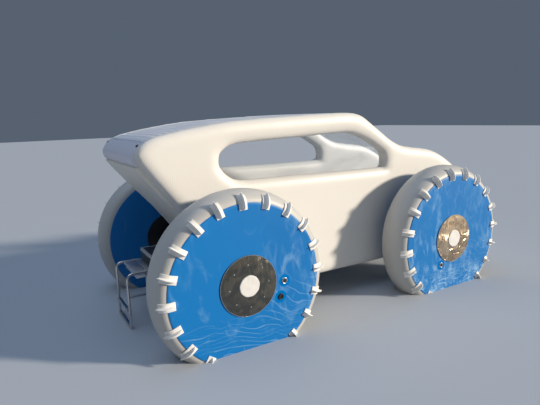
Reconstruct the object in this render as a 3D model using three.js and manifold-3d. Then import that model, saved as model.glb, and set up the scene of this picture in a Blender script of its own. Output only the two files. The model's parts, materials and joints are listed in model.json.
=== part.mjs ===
// An inflatable amphibious craft: two car-shaped side panels joined across by a roof, a floor, a bow and
// a rear panel, carried and driven by four large inflated drum wheels with paddle cleats.
// Millimetres, +X forward, +Y to port, +Z up. Everything is drawn from the rear hub's height and
// station, and the whole craft is moved at the end so that its origin is under its middle, on the floor.
import * as THREE from "three";
import { ConvexGeometry } from "three/addons/geometries/ConvexGeometry.js";
import { mergeVertices } from "three/addons/utils/BufferGeometryUtils.js";
import Module from "manifold-3d";

const wasm = await Module();
wasm.setup();

// Driving dimensions
const WHEELBASE = 2919; // from rear hub to front hub
const FACE_PLANE = 1348; // from the middle plane to a wheel's blue outer face
const FACE_RADIUS = 800; // blue disc
const TREAD_RADIUS = 911; // white drum at its widest
const DRUM_WIDTH = 406; // from outer blue face to inner blue face
const DISC_THICKNESS = 10; // blue disc welded on each side of the drum
const HUB_PLATE_RADIUS = 291;
const INNER_PLATE_RADIUS = 320;
const HUB_PLATE_THICKNESS = 20;
const INNER_PLATE_THICKNESS = 8;
const CAP_RADIUS = 106;
const CAP_THICKNESS = 12;
const WHEEL_BORE = 46; // radius of the bearing bore
const SPINDLE_RADIUS = 40;
const AXLE_RADIUS = 60;
const PANEL_OUTER = 788; // from the middle plane to a side panel's outer face
const PANEL_THICKNESS = 200;
const PANEL_ROUND = 90; // round of an inflated panel's edge
const HULL_BOTTOM = -320; // below hub height
const FLOOR_THICKNESS = 150;
const WALL_THICKNESS = 100; // rear and bow panels
const ROOF_THICKNESS = 70;
const ROOF_INSET = 4; // below the side panels' crest
const FILM_THICKNESS = 12;
const FILM_INSET = 45;
const GAP = 0.3; // between pieces that touch
const PIERCING = 3000; // length of a tool that cuts right through
const RAIL_OFFSET = 330; // middle of a chassis rail from the middle plane
const RAIL_WIDTH = 80;

// Values that follow from them
const INNER_HALF = PANEL_OUTER - PANEL_THICKNESS;
const FLOOR_TOP = HULL_BOTTOM + FLOOR_THICKNESS;
const RAIL_TOP = -AXLE_RADIUS - GAP;
const CARRIER_GAP = 9; // between a carrier's face and its wheel
const CARRIER_OUT = FACE_PLANE - DRUM_WIDTH - INNER_PLATE_THICKNESS - CARRIER_GAP;

// Paddle cleats: flat strips with a fin along their middle, welded across the drum's outer shoulder
const CLEAT_COUNT = 20;
const CLEAT_INNER_RADIUS = 722;
const CLEAT_BEND_RADIUS = FACE_RADIUS + 5;
const CLEAT_END_TURN = 37; // degrees round the shoulder where a cleat ends
const CLEAT_WIDTH = 82;
const CLEAT_THICKNESS = 9;
const CLEAT_ROOT = 22; // depth of the outer end under the drum's surface
const FIN_THICKNESS = 9; // at its foot
const FIN_HEIGHT = 52; // at the rim; it rises from nothing at the inner end
const FIN_OUTER_HEIGHT = 40;
const SHOULDER_RISE = TREAD_RADIUS - FACE_RADIUS;
const SHOULDER_DEPTH = DRUM_WIDTH / 2;

// Wheels: name, station, side (-1 is starboard), and the turn of the first cleat in degrees
const WHEELS = [
  { name: "rear_right", x: 0, side: -1, phase: 2.2 },
  { name: "rear_left", x: 0, side: 1, phase: 2.2 },
  { name: "front_right", x: WHEELBASE, side: -1, phase: 5 },
  { name: "front_left", x: WHEELBASE, side: 1, phase: 5 },
];

// Crown of a side panel, from the top of the rear slope over roof, windscreen slope, hood and nose
const CROWN = [
  [-694, 1023], [-784, 1149], [-829, 1222], [-812, 1296], [-748, 1364], [-642, 1411],
  [-454, 1452], [-258, 1486], [157, 1540], [734, 1572], [1200, 1588], [1613, 1599],
  [1807, 1591], [1927, 1566], [2009, 1518], [2222, 1379], [2399, 1260], [2512, 1203],
  [2640, 1155], [2899, 1115], [3071, 1093], [3250, 1046], [3437, 960], [3632, 838],
  [3830, 680], [3975, 505], [4040, 330], [4015, 190], [3930, 80],
];
const REAR_CORNER = [332, HULL_BOTTOM]; // foot of the rear slope
const FRONT_CORNER = [3600, HULL_BOTTOM];
const FOOT_ROUND = 130;

// Window opening, clockwise from its lower rear
const WINDOW = [
  [311, 919], [191, 940], [104, 1000], [45, 1068], [19, 1143], [52, 1225], [150, 1288], [288, 1306],
  [708, 1325], [1164, 1341], [1587, 1356], [1742, 1350], [1984, 1265], [2196, 1144], [2306, 1065],
  [2350, 990], [2309, 926], [2201, 904],
];

const COLOURS = {
  white: { color: 0xf0e9dc, roughness: 0.55, metalness: 0 },
  blue: { color: 0x1a6fc4, roughness: 0.4, metalness: 0 },
  roof: { color: 0xdfe3ee, roughness: 0.5, metalness: 0 },
  film: { color: 0xd8dde0, roughness: 0.1, metalness: 0, transparent: true, opacity: 0.35 },
  stainless: { color: 0xb9b4aa, roughness: 0.12, metalness: 1 },
  aluminium: { color: 0xb6bac0, roughness: 0.35, metalness: 1 },
  black: { color: 0x14161a, roughness: 0.45, metalness: 0 },
  seat: { color: 0xd9dbdf, roughness: 0.6, metalness: 0 },
};

const point = ([x, y]) => new THREE.Vector2(x, y);
const radians = THREE.MathUtils.degToRad;

// A geometry as a solid that can be cut and joined, and back again
function solidOf(geometry) {
  const bare = geometry.clone();
  bare.deleteAttribute("normal");
  bare.deleteAttribute("uv");
  const merged = mergeVertices(bare, 1e-3);
  return new wasm.Manifold(
    new wasm.Mesh({
      numProp: 3,
      vertProperties: merged.attributes.position.array,
      triVerts: new Uint32Array(merged.index.array),
    }),
  );
}

function geometryOf(solid) {
  const mesh = solid.getMesh();
  const geometry = new THREE.BufferGeometry();
  geometry.setAttribute("position", new THREE.BufferAttribute(mesh.vertProperties, 3));
  geometry.setIndex(new THREE.BufferAttribute(mesh.triVerts, 1));
  return geometry;
}

const joined = (geometries) => geometryOf(geometries.map(solidOf).reduce((all, one) => all.add(one)));

const cutBy = (geometry, tools) =>
  geometryOf(tools.map(solidOf).reduce((left, tool) => left.subtract(tool), solidOf(geometry)));

function mesh(name, geometry, finish) {
  geometry.computeVertexNormals();
  const made = new THREE.Mesh(geometry, new THREE.MeshStandardMaterial(COLOURS[finish]));
  made.name = name;
  return made;
}

// Shapes

const ROUND_STEPS = 3;

// An outline in the X-Z plane, extruded across the craft from one Y to another
function across(outline, fromY, toY, round = 0, hole = null) {
  const shape = new THREE.Shape(outline);
  if (hole) {
    shape.holes.push(new THREE.Path(hole));
  }
  const geometry = new THREE.ExtrudeGeometry(shape, {
    depth: toY - fromY - 2 * round,
    bevelEnabled: round > 0,
    bevelThickness: round,
    bevelSize: round,
    bevelOffset: -round,
    bevelSegments: ROUND_STEPS,
  });
  geometry.translate(0, 0, round - toY);
  return geometry.rotateX(Math.PI / 2);
}

function box(x, y, z) {
  const geometry = new THREE.BoxGeometry(x[1] - x[0], y[1] - y[0], z[1] - z[0]);
  return geometry.translate((x[0] + x[1]) / 2, (y[0] + y[1]) / 2, (z[0] + z[1]) / 2);
}

// A body of revolution round the Y axis from pairs of radius and distance along Y
function turned(profile, facets, side = 1) {
  const geometry = new THREE.LatheGeometry(profile.map(point), facets);
  return side > 0 ? geometry : geometry.rotateX(Math.PI);
}

const TUBE_SIDES = 6;
const TUBE_STEPS = 12;

// A tube through points, with a round bend at each inner point
function tube(points, radius, bend) {
  const path = new THREE.CurvePath();
  let from = points[0];
  for (let i = 1; i < points.length - 1; i += 1) {
    const corner = points[i];
    const start = corner.clone().add(points[i - 1].clone().sub(corner).setLength(bend));
    const end = corner.clone().add(points[i + 1].clone().sub(corner).setLength(bend));
    path.add(new THREE.LineCurve3(from, start));
    path.add(new THREE.QuadraticBezierCurve3(start, corner, end));
    from = end;
  }
  path.add(new THREE.LineCurve3(from, points.at(-1)));
  const ring = Array.from({ length: TUBE_SIDES }, (_, i) => {
    const turn = (i * 2 * Math.PI) / TUBE_SIDES;
    return new THREE.Vector2(radius * Math.cos(turn), radius * Math.sin(turn));
  });
  return new THREE.ExtrudeGeometry(new THREE.Shape(ring), {
    extrudePath: path,
    steps: TUBE_STEPS,
    bevelEnabled: false,
  });
}

const FILLET_STEPS = 4;

// The corner's round, as points from one leg to the other
function filleted(before, corner, after, round) {
  const start = corner.clone().add(before.clone().sub(corner).setLength(round));
  const end = corner.clone().add(after.clone().sub(corner).setLength(round));
  return new THREE.QuadraticBezierCurve(start, corner, end).getPoints(FILLET_STEPS);
}

// A line moved to its right-hand side by a distance
function movedIn(line, distance) {
  return line.map((p, i) => {
    const along = line[Math.min(i + 1, line.length - 1)].clone().sub(line[Math.max(i - 1, 0)]).normalize();
    return new THREE.Vector2(p.x + along.y * distance, p.y - along.x * distance);
  });
}

// A closed band of even thickness that follows a line at an inset
const band = (line, inset, thickness) => [
  ...movedIn(line, inset),
  ...movedIn(line, inset + thickness).reverse(),
];

// Outlines

const CROWN_STEPS = 66;
const WINDOW_STEPS = 44;
const crown = new THREE.SplineCurve(CROWN.map(point)).getSpacedPoints(CROWN_STEPS);
const rearCorner = point(REAR_CORNER);
const frontCorner = point(FRONT_CORNER);
const sideOutline = [
  ...crown,
  ...filleted(crown.at(-1), frontCorner, rearCorner, FOOT_ROUND),
  ...filleted(frontCorner, rearCorner, crown[0], FOOT_ROUND),
].reverse();
const windowCurve = new THREE.SplineCurve([...WINDOW, WINDOW[0]].map(point));
const windowOutline = windowCurve.getSpacedPoints(WINDOW_STEPS).slice(0, -1);

// The stretch of the crown between two stations, cut exactly at both
const CLOSEST = 45; // from a cut end to the next point
const rearmost = crown.findIndex((p, i) => crown[i + 1].x > p.x);
const forward = crown.slice(rearmost);
function crownAt(x) {
  const next = forward.findIndex((p) => p.x > x);
  const [before, after] = [forward[next - 1], forward[next]];
  return before.clone().lerp(after, (x - before.x) / (after.x - before.x));
}
const crownBetween = (fromX, toX) => {
  const last = forward.findIndex((p) => p.x > toX - CLOSEST);
  return [crownAt(fromX), ...forward.slice(0, last).filter((p) => p.x > fromX + CLOSEST), crownAt(toX)];
};

// The rear slope as a line, and a point on it at a height
const slopeTop = crown[0];
const onRearSlope = (z) => {
  const share = (z - rearCorner.y) / (slopeTop.y - rearCorner.y);
  return new THREE.Vector2(rearCorner.x + (slopeTop.x - rearCorner.x) * share, z);
};

const craft = new THREE.Group();
const add = (...made) => craft.add(...made);

// The front axle's bore through the side panels
const BORE_PLAY = 8; // between the axle and the panels
const AXLE_FACETS = 24;
const borer = (radius, x, facets = AXLE_FACETS) => {
  return new THREE.CylinderGeometry(radius, radius, PIERCING, facets).translate(x, 0, 0);
};
const axleBore = borer(AXLE_RADIUS + BORE_PLAY, WHEELBASE);

for (const [name, fromY] of [["right", -PANEL_OUTER], ["left", INNER_HALF]]) {
  const panel = across(sideOutline, fromY, fromY + PANEL_THICKNESS, PANEL_ROUND, windowOutline);
  add(mesh(`side_panel_${name}`, cutBy(panel, [axleBore]), "white"));
}

// Pieces across the craft between the side panels
const between = (outline, round = 0) => across(outline, GAP - INNER_HALF, INNER_HALF - GAP, round);
const rails = [-RAIL_OFFSET, RAIL_OFFSET];

const ROOF_REAR = -715;
const ROOF_FRONT = 1975;
const roof = band(crownBetween(ROOF_REAR, ROOF_FRONT), ROOF_INSET, ROOF_THICKNESS);
add(mesh("roof_panel", between(roof), "roof"));

const REAR_PANEL_TOP = 1117;
const PANEL_INSET = 10; // of the rear and bow panels from the side panels' edges
const WALL_LEAN = 40; // the rear panel's foot reaches further in than its top
const rearLine = [onRearSlope(FLOOR_TOP + GAP), onRearSlope(REAR_PANEL_TOP)];
const rearOuter = movedIn(rearLine, PANEL_INSET);
const rearInner = movedIn(rearLine, PANEL_INSET + WALL_THICKNESS);
const rearFoot = new THREE.Vector2(rearInner[0].x + WALL_LEAN, rearOuter[0].y);
const rearWall = [rearOuter[0], rearFoot, rearInner[1], rearOuter[1]];

// The rear bolster is a bulging D that closes the corner between the roof and the rear panel
const BOLSTER_BULGE = [[-795, 1318], [-842, 1235], [-822, 1155]];
const BOLSTER_STEPS = 12;
const roofAlong = roof[1].clone().sub(roof[0]).setLength(GAP);
const slopeAlong = slopeTop.clone().sub(rearCorner).setLength(GAP);
const bolsterTop = roof[0].clone().sub(roofAlong);
const bolsterFoot = rearOuter[1].clone().add(slopeAlong);
const bolster = [
  ...new THREE.SplineCurve([bolsterTop, ...BOLSTER_BULGE.map(point), bolsterFoot]).getPoints(BOLSTER_STEPS),
  rearInner[1].clone().add(slopeAlong),
  roof.at(-1).clone().sub(roofAlong),
];
add(mesh("rear_bolster", between(bolster), "roof"));

const RAIL_PLAY = 2; // between a rail and the rear panel that it passes
const railNotches = rails.map((y) => {
  const half = RAIL_WIDTH / 2 + RAIL_PLAY;
  return box([-PIERCING, PIERCING], [y - half, y + half], [HULL_BOTTOM, RAIL_TOP + RAIL_PLAY]);
});
add(mesh("rear_panel", cutBy(between(rearWall), railNotches), "white"));

// Floor, cut to the slopes at both ends
const FRONT_SLOPE = (crown.at(-1).x - frontCorner.x) / (crown.at(-1).y - frontCorner.y);
const onFrontSlope = (z) => new THREE.Vector2(frontCorner.x + (z - frontCorner.y) * FRONT_SLOPE, z);
const FLOOR_INSET = 14;
const floorPanel = [
  onRearSlope(HULL_BOTTOM).add(point([FLOOR_INSET, 0])),
  onFrontSlope(HULL_BOTTOM).sub(point([FLOOR_INSET, 0])),
  onFrontSlope(FLOOR_TOP).sub(point([FLOOR_INSET, 0])),
  onRearSlope(FLOOR_TOP).add(point([FLOOR_INSET, 0])),
];
add(mesh("floor_panel", between(floorPanel), "white"));

// The bow panel follows the nose from the clear screen's foot down to the floor
const NOSE_TOP_X = 3735;
const noseLine = [
  ...crown.filter((p) => p.x > NOSE_TOP_X),
  onFrontSlope(FLOOR_TOP + GAP),
];
const noseInner = movedIn(noseLine, PANEL_INSET + WALL_THICKNESS);
noseInner.at(-1).y = FLOOR_TOP + GAP;
const noseOuter = movedIn(noseLine, PANEL_INSET);
noseOuter.at(-1).y = FLOOR_TOP + GAP;
add(mesh("bow_panel", between([...noseOuter, ...noseInner.reverse()]), "white"));

// Clear film screen from the roof's front edge down the slope and over the hood
const SCREEN_GAP = 10; // to the roof and to the bow panel
const screenLine = crownBetween(ROOF_FRONT + SCREEN_GAP, NOSE_TOP_X - SCREEN_GAP);
add(mesh("clear_screen", between(band(screenLine, FILM_INSET, FILM_THICKNESS)), "film"));

// Two inflated bench seats, standing on the chassis rails
const SEAT_HALF = 520;
const SEAT_ROUND = 40;
const SEAT_LENGTH = 600;
const SEAT_FRONT_TOP = 190;
const SEAT_REAR_TOP = 170; // where the seat meets its back
const BACK_FOOT = 150; // from the bench's rear to the back's front, at the seat
const BACK_HALF = 70; // of the back's thickness at its top
const BACK_TOP = 560;
for (const [name, x] of [["front_bench", 1330], ["rear_bench", 330]]) {
  const outline = [
    [x, RAIL_TOP + GAP], [x + SEAT_LENGTH, RAIL_TOP + GAP], [x + SEAT_LENGTH, SEAT_FRONT_TOP],
    [x + BACK_FOOT, SEAT_REAR_TOP], [x + BACK_HALF, BACK_TOP], [x - BACK_HALF, BACK_TOP],
  ];
  add(mesh(name, across(outline.map(point), -SEAT_HALF, SEAT_HALF, SEAT_ROUND), "seat"));
}

// Chassis: two rails on the floor with a saddle under each axle
const RAIL_REAR = -700;
const RAIL_FRONT = WHEELBASE + 180;
const SADDLE_DEPTH = 20; // of a saddle's root in the rail
const SADDLE_HALF = 72;
const SADDLE_TOP = 14;
for (const [name, y] of [["right", -RAIL_OFFSET], ["left", RAIL_OFFSET]]) {
  const wide = [y - RAIL_WIDTH / 2, y + RAIL_WIDTH / 2];
  const rail = joined([
    box([RAIL_REAR, RAIL_FRONT], wide, [FLOOR_TOP + GAP, RAIL_TOP]),
    box([-SADDLE_HALF, SADDLE_HALF], wide, [RAIL_TOP - SADDLE_DEPTH, SADDLE_TOP]),
    box([WHEELBASE - SADDLE_HALF, WHEELBASE + SADDLE_HALF], wide, [RAIL_TOP - SADDLE_DEPTH, SADDLE_TOP]),
  ]);
  const seats = [0, WHEELBASE].map((x) => borer(AXLE_RADIUS + GAP, x));
  add(mesh(`chassis_rail_${name}`, cutBy(rail, seats), "aluminium"));
}

// Axles: a tube across the rails, with a spindle at each end for a wheel
const SPINDLE_INSET = 40; // of a spindle's end from the blue face
const SPINDLE_END = FACE_PLANE - SPINDLE_INSET;
const axleProfile = [
  [0, -SPINDLE_END], [SPINDLE_RADIUS, -SPINDLE_END],
  [SPINDLE_RADIUS, -CARRIER_OUT], [AXLE_RADIUS, -CARRIER_OUT],
  [AXLE_RADIUS, CARRIER_OUT], [SPINDLE_RADIUS, CARRIER_OUT],
  [SPINDLE_RADIUS, SPINDLE_END], [0, SPINDLE_END],
];
for (const [name, x] of [["rear", 0], ["front", WHEELBASE]]) {
  add(mesh(`${name}_axle`, turned(axleProfile, AXLE_FACETS).translate(x, 0, 0), "aluminium"));
}

// Hub carriers: a drive housing round each axle end, between panel and wheel
const CARRIER_RADIUS = 135;
const CARRIER_SHOULDER = 25; // how much slimmer its inner end is
const CARRIER_TAPER = 30; // length of the slope to that
const CARRIER_CLEARANCE = 12; // to the side panel
const CARRIER_IN = PANEL_OUTER + CARRIER_CLEARANCE;
for (const { name, x, side } of WHEELS) {
  const bore = AXLE_RADIUS + GAP;
  const profile = [
    [bore, CARRIER_IN], [CARRIER_RADIUS - CARRIER_SHOULDER, CARRIER_IN],
    [CARRIER_RADIUS, CARRIER_IN + CARRIER_TAPER], [CARRIER_RADIUS, CARRIER_OUT],
    [bore, CARRIER_OUT], [bore, CARRIER_IN],
  ];
  add(mesh(`hub_carrier_${name}`, turned(profile, AXLE_FACETS, side).translate(x, 0, 0), "black"));
}

// Stern deck between the rails' rear ends, on a ladder frame of bars, with the battery box on it
const DECK = { x: [-800, -80], y: [-234, 234], z: [RAIL_TOP + GAP, -20] };
add(mesh("stern_deck", box(DECK.x, DECK.y, DECK.z), "aluminium"));

const BOX_X = [-600, -100];
const BOX_HALF = 215;
const BOX_TOP = 72;
const LID_TOP = 108;
const LID_RIM = 12; // of the lid past the box
const batteryBox = joined([
  box(BOX_X, [-BOX_HALF, BOX_HALF], [DECK.z[1] + GAP, BOX_TOP]),
  box([BOX_X[0], BOX_X[1] + LID_RIM], [-BOX_HALF - LID_RIM, BOX_HALF + LID_RIM], [BOX_TOP, LID_TOP]),
]);
add(mesh("battery_box", batteryBox, "black"));

const BAR = 40;
const BAR_Z = [RAIL_TOP - BAR, RAIL_TOP];
const CROSSBARS = [-780, -440, -120];
const EDGE_BAR = 214; // middle of a bar under a deck edge
const BETWEEN_RAILS = RAIL_OFFSET - RAIL_WIDTH / 2 - GAP;
const sternFrame = joined([
  ...CROSSBARS.map((x) => {
    const half = x > RAIL_REAR ? BETWEEN_RAILS : EDGE_BAR;
    return box([x, x + BAR], [-half, half], BAR_Z);
  }),
  ...[-EDGE_BAR, EDGE_BAR].map((y) => {
    return box([CROSSBARS[0], CROSSBARS[2] + BAR], [y - BAR / 2, y + BAR / 2], BAR_Z);
  }),
]);
add(mesh("stern_frame", sternFrame, "aluminium"));

// Boarding ladder: two bent tubes along the deck's edges and down, their rungs, a brace on the starboard
// one, and a bar between the rails' rear ends that carries them on two lugs
const LADDER_TUBE = 15;
const LADDER_HALF = 250;
const LADDER_X = -884;
const LADDER_TOP = -35;
const LADDER_FOOT = -790;
const LADDER_BRACE = -286;
const LADDER_BEND = 75;
const BRACE_BEND = 45;
const LADDER_MOUNT = -640;
const MOUNT_Z = [-145, -105];
const RUNGS = [-455, -620, -775];
const RUNG_HALF = [18, 10]; // along the craft and in height
const LUG_HALF = 14;
const mountX = [LADDER_MOUNT - BAR / 2, LADDER_MOUNT + BAR / 2];
const at = (x, y, z) => new THREE.Vector3(x, y, z);
const sides = [-LADDER_HALF, LADDER_HALF];
const ladder = joined([
  box(mountX, [-BETWEEN_RAILS, BETWEEN_RAILS], MOUNT_Z),
  ...sides.map((y) => box(mountX, [y - LUG_HALF, y + LUG_HALF], [MOUNT_Z[0], LADDER_TOP])),
  ...sides.map((y) => {
    const stations = [[LADDER_MOUNT, LADDER_TOP], [LADDER_X, LADDER_TOP], [LADDER_X, LADDER_FOOT]];
    return tube(stations.map(([x, z]) => at(x, y, z)), LADDER_TUBE, LADDER_BEND);
  }),
  tube(
    [
      at(LADDER_X, -LADDER_HALF, LADDER_BRACE),
      at(LADDER_MOUNT, -LADDER_HALF, LADDER_BRACE),
      at(LADDER_MOUNT, -LADDER_HALF, MOUNT_Z[0] + LADDER_TUBE),
    ],
    LADDER_TUBE,
    BRACE_BEND,
  ),
  ...RUNGS.map((z) => {
    const [halfX, halfZ] = RUNG_HALF;
    return box([LADDER_X - halfX, LADDER_X + halfX], sides, [z - halfZ, z + halfZ]);
  }),
]);
add(mesh("boarding_ladder", ladder, "stainless"));

// Wheels. A wheel is drawn round the Y axis with its outer blue face at distance 0 and its inner one
// at DRUM_WIDTH, then placed with its outer face outwards.

// A point of the drum's outer shoulder, a quarter of an ellipse from the face to the tread
const shoulder = (degrees) => {
  const turn = radians(degrees);
  return new THREE.Vector2(
    FACE_RADIUS + SHOULDER_RISE * Math.sin(turn),
    DISC_THICKNESS + (SHOULDER_DEPTH - DISC_THICKNESS) * (1 - Math.cos(turn)),
  );
};
const shoulderNormal = (degrees) => {
  const turn = radians(degrees);
  return new THREE.Vector2(Math.sin(turn) / SHOULDER_RISE, -Math.cos(turn) / SHOULDER_DEPTH).normalize();
};
const far = (p) => new THREE.Vector2(p.x, DRUM_WIDTH - p.y);
const MID_TURN = 47; // of the one corner between a shoulder's ends, in degrees
const drumProfile = [
  new THREE.Vector2(0, DISC_THICKNESS),
  shoulder(0), shoulder(MID_TURN), shoulder(90), far(shoulder(MID_TURN)), far(shoulder(0)),
  new THREE.Vector2(0, DRUM_WIDTH - DISC_THICKNESS),
];

// A cleat's stations: a point of its foot, the way out of the wheel there, depth under it and fin height
const outwards = new THREE.Vector2(0, -1);
const CLEAT_STATIONS = [
  { foot: point([CLEAT_INNER_RADIUS, 0]), out: outwards, depth: -GAP, fin: CLEAT_THICKNESS },
  { foot: point([CLEAT_BEND_RADIUS, 0]), out: outwards, depth: -GAP, fin: FIN_HEIGHT },
  {
    foot: shoulder(CLEAT_END_TURN),
    out: shoulderNormal(CLEAT_END_TURN),
    depth: CLEAT_ROOT,
    fin: FIN_OUTER_HEIGHT,
  },
];

// The corners of a strip or a fin at a station, from pairs of height and half-width
const corners = ({ foot, out }, section) => section.flatMap(([height, half]) => {
  const p = foot.clone().addScaledVector(out, height);
  return [-half, half].map((z) => new THREE.Vector3(p.x, p.y, z));
});
const stripCorners = (station) => corners(station, [
  [-station.depth, CLEAT_WIDTH / 2],
  [CLEAT_THICKNESS, CLEAT_WIDTH / 2],
]);
const finCorners = (station) => {
  const half = station.fin > CLEAT_THICKNESS ? FIN_THICKNESS / 2 : 0;
  return corners(station, [[CLEAT_THICKNESS, half], [station.fin, 0]]);
};
const spans = CLEAT_STATIONS.slice(1).map((station, i) => [CLEAT_STATIONS[i], station]);
const cleat = joined(spans.flatMap((span) => [stripCorners, finCorners].map((piece) => {
  return new ConvexGeometry(span.flatMap(piece));
})));

const DRUM_BORE_FACETS = 8;

// Every second facet of the drum carries a cleat in its middle
function cleatedDrum(phase) {
  const facets = 2 * CLEAT_COUNT;
  const start = radians(90 - phase - 180 / facets);
  const bore = borer(WHEEL_BORE, 0, DRUM_BORE_FACETS);
  let all = solidOf(new THREE.LatheGeometry(drumProfile, facets, start)).subtract(solidOf(bore));
  for (let i = 0; i < CLEAT_COUNT; i += 1) {
    const turn = radians(phase + (i * 360) / CLEAT_COUNT);
    all = all.add(solidOf(cleat.clone().rotateY(-turn)));
  }
  return geometryOf(all);
}

function disc(radius, from, to, facets, bore, chamfer) {
  const profile = [
    [bore, from], [radius - chamfer, from], [radius, from + chamfer], [radius, to], [bore, to],
  ];
  if (chamfer === 0) {
    profile.splice(2, 1);
  }
  if (bore > 0) {
    profile.push(profile[0]);
  }
  return turned(profile, facets);
}

// A wheel's discs from its outer side in: name, radius, its two faces, facets, bore, chamfer and finish
const EDGE = 4; // chamfer of the outer disc and the cap
const PLATE_FACE = -HUB_PLATE_THICKNESS;
const INNER_FACE = DRUM_WIDTH - DISC_THICKNESS;
const DISCS = [
  ["cap", CAP_RADIUS, PLATE_FACE - CAP_THICKNESS, PLATE_FACE - GAP, 24, 0, EDGE, "white"],
  ["hub_plate", HUB_PLATE_RADIUS, PLATE_FACE, -GAP, 36, 0, 0, "stainless"],
  ["outer_disc", FACE_RADIUS, 0, DISC_THICKNESS - GAP, 40, 0, EDGE, "blue"],
  ["inner_disc", FACE_RADIUS, INNER_FACE + GAP, DRUM_WIDTH, 40, WHEEL_BORE, 0, "blue"],
  ["inner_plate", INNER_PLATE_RADIUS, DRUM_WIDTH + GAP, DRUM_WIDTH + INNER_PLATE_THICKNESS, 32,
    WHEEL_BORE, 0, "black"],
];
for (const { name, x, side, phase } of WHEELS) {
  const wheel = new THREE.Group();
  wheel.add(mesh(`wheel_${name}_drum`, cleatedDrum(phase), "white"));
  for (const [piece, radius, from, to, facets, bore, chamfer, finish] of DISCS) {
    wheel.add(mesh(`wheel_${name}_${piece}`, disc(radius, from, to, facets, bore, chamfer), finish));
  }
  wheel.position.set(x, side * FACE_PLANE, 0);
  if (side > 0) {
    wheel.scale.y = -1;
  }
  craft.add(wheel);
}

// The origin goes under the middle of the craft, on the floor that the wheels stand on
const reach = new THREE.Box3().setFromObject(craft, true);
craft.position.set(-(reach.min.x + reach.max.x) / 2, 0, -reach.min.z);

export default craft;
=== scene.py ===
"""The looks of an inflatable amphibious paddle-wheel craft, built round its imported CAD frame."""

import json
import logging
import math
from collections.abc import Callable, Iterable, Iterator, Sequence
from contextlib import contextmanager
from dataclasses import dataclass, field
from enum import Enum
from functools import cache

import bmesh
import bpy
from mathutils import Matrix, Vector, noise


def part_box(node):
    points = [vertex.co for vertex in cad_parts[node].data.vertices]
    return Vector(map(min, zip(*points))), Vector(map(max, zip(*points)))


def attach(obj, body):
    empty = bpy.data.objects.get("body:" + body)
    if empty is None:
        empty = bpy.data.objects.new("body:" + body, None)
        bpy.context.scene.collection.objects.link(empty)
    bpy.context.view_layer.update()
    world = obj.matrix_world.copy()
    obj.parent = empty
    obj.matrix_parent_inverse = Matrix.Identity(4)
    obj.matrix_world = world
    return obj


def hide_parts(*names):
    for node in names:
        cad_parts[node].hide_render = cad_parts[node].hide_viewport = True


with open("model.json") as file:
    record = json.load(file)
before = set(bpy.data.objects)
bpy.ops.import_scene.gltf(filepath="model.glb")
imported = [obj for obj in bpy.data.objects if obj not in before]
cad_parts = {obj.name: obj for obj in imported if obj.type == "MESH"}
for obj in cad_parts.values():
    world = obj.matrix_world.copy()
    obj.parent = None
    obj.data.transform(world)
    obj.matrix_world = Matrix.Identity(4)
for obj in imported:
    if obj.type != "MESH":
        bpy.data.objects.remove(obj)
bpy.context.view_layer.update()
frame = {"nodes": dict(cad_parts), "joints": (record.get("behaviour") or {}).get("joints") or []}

log = logging.getLogger("craft")

Colour = tuple[float, float, float]
Profile = Sequence[tuple[float, float]]
Piece = bpy.types.Object
JOINTS = {joint["child"]: joint for joint in frame["joints"]}
REAR_HUB = Vector(JOINTS["rear_right_wheel"]["pos_m"])
FRONT_HUB_X = JOINTS["front_right_wheel"]["pos_m"][0]
HULL = "hull"
WATERLINE_DROP = 0.644


class Side(Enum):
    """Which side of the craft a piece is on, as the sign of its Y."""

    STARBOARD = -1
    PORT = 1


def hub_point(x: float, y: float, z: float) -> Vector:
    """A place given from the rear hub's station and height, in the frame."""
    return Vector((REAR_HUB.x + x, y, REAR_HUB.z + z))


def from_angles(azimuth: float, elevation: float) -> Vector:
    """The direction towards an azimuth, from -Y towards +X, and an elevation, in degrees."""
    turn, tilt = math.radians(azimuth), math.radians(elevation)
    return Vector((math.sin(turn) * math.cos(tilt), -math.cos(turn) * math.cos(tilt), math.sin(tilt)))


def box_centre(node: str) -> Vector:
    """The middle of a CAD node's box."""
    low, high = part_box(node)
    return Vector((low + high) / 2)


def box_radius(node: str) -> float:
    """Half the height of a round CAD node."""
    low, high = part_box(node)
    return (high.z - low.z) / 2


def linked(name: str, data: bpy.types.ID) -> Piece:
    """Put data into the scene as an object.

    Args:
        name: The object's name.
        data: Its mesh, light or camera.

    Returns:
        The new object.
    """
    made = bpy.data.objects.new(name, data)
    bpy.context.scene.collection.objects.link(made)
    return made


# Shader maths

class Signal:
    """A shader socket that can stand in a sum."""

    def __init__(self, graph: "Graph", socket: bpy.types.NodeSocket) -> None:
        """Wrap one output socket of a graph."""
        self.graph = graph
        self.socket = socket

    def _maths(self, operation: str, *values: "Signal | float") -> "Signal":
        """Join values by one Math node."""
        return self.graph.node("ShaderNodeMath", {"operation": operation}, dict(enumerate(values)))

    def __add__(self, other: "Signal | float") -> "Signal":
        """Sum."""
        return self._maths("ADD", self, other)

    def __mul__(self, other: "Signal | float") -> "Signal":
        """Product."""
        return self._maths("MULTIPLY", self, other)

    def __sub__(self, other: "Signal | float") -> "Signal":
        """Difference."""
        return self._maths("SUBTRACT", self, other)

    def __rsub__(self, other: float) -> "Signal":
        """Difference from a number."""
        return self._maths("SUBTRACT", other, self)

    def __abs__(self) -> "Signal":
        """Size without sign."""
        return self._maths("ABSOLUTE", self)

    __radd__ = __add__

    def wave(self) -> "Signal":
        """Sine."""
        return self._maths("SINE", self)

    def step(self, low: float, high: float, start: float = 0.0, end: float = 1.0) -> "Signal":
        """Ease from start to end as this value goes from low to high."""
        values = {"Value": self, "From Min": low, "From Max": high, "To Min": start, "To Max": end}
        return self.graph.node("ShaderNodeMapRange", {"interpolation_type": "SMOOTHSTEP"}, values)


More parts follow.
